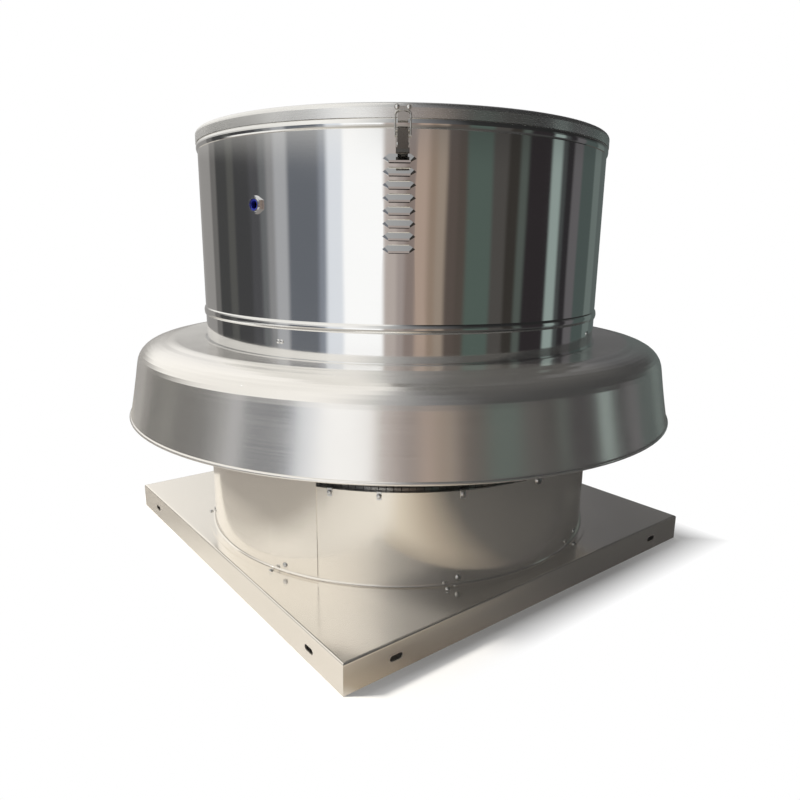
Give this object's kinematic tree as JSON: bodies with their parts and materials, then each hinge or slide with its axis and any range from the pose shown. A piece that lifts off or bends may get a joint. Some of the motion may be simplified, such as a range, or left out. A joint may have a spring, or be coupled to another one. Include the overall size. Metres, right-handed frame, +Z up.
{
  "type": "roof exhaust fan",
  "caption": "Spun-aluminium downblast roof exhauster: square curb cap, drum, bird screen, domed shroud, tall louvred motor cover with a toggle-latched lift-off cap over a belt-driven wheel.",
  "frame": {"origin": "centre of the curb cap at the level of its lower edge", "axes": "+Z up along the fan shaft, X and Y along the sides of the square curb cap, with the front latch seen in the picture near the corner at -X, -Y and the motor on the +X side"},
  "size_m": [1.108, 1.108, 0.8413],
  "materials": {
    "aluminium_sheet": "satin",
    "spun_aluminium": "brushed",
    "polished_aluminium": "polished",
    "latch_steel": "bright",
    "lever_steel": "bright",
    "zinc_steel": "zinc plated",
    "shaft_steel": "turned",
    "stand_paint": "satin paint",
    "motor_paint": "gloss paint",
    "cast_housing": "painted casting",
    "pulley_iron": "turned casting",
    "belt_rubber": "matt",
    "screen_wire": "dark coated",
    "gland_metal": "nickel plated",
    "gland_rubber": "matt",
    "fan_plastic": "moulded"
  },
  "bodies": {
    "housing": {"curb_cap": "aluminium_sheet", "drum": "aluminium_sheet", "drum_screws": "zinc_steel", "inlet_cone": "spun_aluminium", "bird_screen": "screen_wire", "screen_clips": "zinc_steel", "clip_screws": "zinc_steel", "support_legs": "spun_aluminium", "leg_bolts": "zinc_steel", "shroud": "spun_aluminium", "deck_plate": "spun_aluminium", "collar": "polished_aluminium", "collar_rivets": "polished_aluminium", "isolators": "belt_rubber", "drive_base": "stand_paint", "bearing_stand": "stand_paint", "drive_bolts": "zinc_steel", "bearing_housings": "cast_housing", "bearing_inserts": "shaft_steel", "bearing_bolts": "zinc_steel", "motor_bracket": "stand_paint", "tension_bolt": "zinc_steel", "motor_frame": "motor_paint", "motor_top_shield": "motor_paint", "motor_bottom_shield": "motor_paint", "motor_cowl": "motor_paint", "terminal_box": "motor_paint", "motor_bolts": "zinc_steel", "v_belt": "belt_rubber", "cover": "polished_aluminium", "gland_body": "gland_metal", "gland_nut": "gland_metal", "gland_seal": "gland_rubber", "gland_locknut": "gland_metal", "latch_bases": "latch_steel", "latch_rivets": "polished_aluminium"},
    "fan_wheel": {"fan_shaft": "shaft_steel", "fan_hub": "cast_housing", "hub_bolts": "zinc_steel", "wheel_back_plate": "spun_aluminium", "wheel_blades": "spun_aluminium", "wheel_inlet_ring": "spun_aluminium", "fan_pulley": "pulley_iron"},
    "motor_rotor": {"motor_shaft": "shaft_steel", "motor_pulley": "pulley_iron", "cooling_fan": "fan_plastic"},
    "lid": {"cap": "polished_aluminium", "catches": "latch_steel", "catch_rivets": "polished_aluminium"},
    "latch_lever_1": {"lever_1": "lever_steel"},
    "latch_bail_1": {"bail_1": "latch_steel"},
    "latch_lever_2": {"lever_2": "lever_steel"},
    "latch_bail_2": {"bail_2": "latch_steel"},
    "latch_lever_3": {"lever_3": "lever_steel"},
    "latch_bail_3": {"bail_3": "latch_steel"},
    "latch_lever_4": {"lever_4": "lever_steel"},
    "latch_bail_4": {"bail_4": "latch_steel"}
  },
  "joints": [
    {"name": "fan_spin", "type": "hinge", "parent": "housing", "child": "fan_wheel", "pos_m": [0, 0, 0.4], "axis": [0, 0, 1], "continuous": true},
    {"name": "motor_spin", "type": "hinge", "parent": "housing", "child": "motor_rotor", "pos_m": [0.188, 0, 0.6], "axis": [0, 0, 1], "continuous": true},
    {"name": "cap_lift", "type": "slide", "parent": "housing", "child": "lid", "axis": [0, 0, 1], "range_m": [0, 0.05]},
    {"name": "lever_1_swing", "type": "hinge", "parent": "housing", "child": "latch_lever_1", "pos_m": [-0.24971, -0.31962, 0.784], "axis": [-0.788, 0.6157, 0], "range_deg": [0, 90]},
    {"name": "bail_1_swing", "type": "hinge", "parent": "latch_lever_1", "child": "latch_bail_1", "pos_m": [-0.24934, -0.31914, 0.77652], "axis": [-0.788, 0.6157, 0], "range_deg": [-135, 0]},
    {"name": "lever_2_swing", "type": "hinge", "parent": "housing", "child": "latch_lever_2", "pos_m": [0.31962, -0.24971, 0.784], "axis": [-0.6157, -0.788, 0], "range_deg": [0, 90]},
    {"name": "bail_2_swing", "type": "hinge", "parent": "latch_lever_2", "child": "latch_bail_2", "pos_m": [0.31914, -0.24934, 0.77652], "axis": [-0.6157, -0.788, 0], "range_deg": [-135, 0]},
    {"name": "lever_3_swing", "type": "hinge", "parent": "housing", "child": "latch_lever_3", "pos_m": [0.24971, 0.31962, 0.784], "axis": [0.788, -0.6157, 0], "range_deg": [0, 90]},
    {"name": "bail_3_swing", "type": "hinge", "parent": "latch_lever_3", "child": "latch_bail_3", "pos_m": [0.24934, 0.31914, 0.77652], "axis": [0.788, -0.6157, 0], "range_deg": [-135, 0]},
    {"name": "lever_4_swing", "type": "hinge", "parent": "housing", "child": "latch_lever_4", "pos_m": [-0.31962, 0.24971, 0.784], "axis": [0.6157, 0.788, 0], "range_deg": [0, 90]},
    {"name": "bail_4_swing", "type": "hinge", "parent": "latch_lever_4", "child": "latch_bail_4", "pos_m": [-0.31914, 0.24934, 0.77652], "axis": [0.6157, 0.788, 0], "range_deg": [-135, 0]}
  ],
  "couplings": [
    {"joint": "motor_spin", "follows": "fan_spin", "ratio": 2},
    {"joint": "lever_1_swing", "follows": "cap_lift", "rad_per_m": 31.4},
    {"joint": "bail_1_swing", "follows": "cap_lift", "rad_per_m": -47.1},
    {"joint": "lever_2_swing", "follows": "cap_lift", "rad_per_m": 31.4},
    {"joint": "bail_2_swing", "follows": "cap_lift", "rad_per_m": -47.1},
    {"joint": "lever_3_swing", "follows": "cap_lift", "rad_per_m": 31.4},
    {"joint": "bail_3_swing", "follows": "cap_lift", "rad_per_m": -47.1},
    {"joint": "lever_4_swing", "follows": "cap_lift", "rad_per_m": 31.4},
    {"joint": "bail_4_swing", "follows": "cap_lift", "rad_per_m": -47.1}
  ]
}
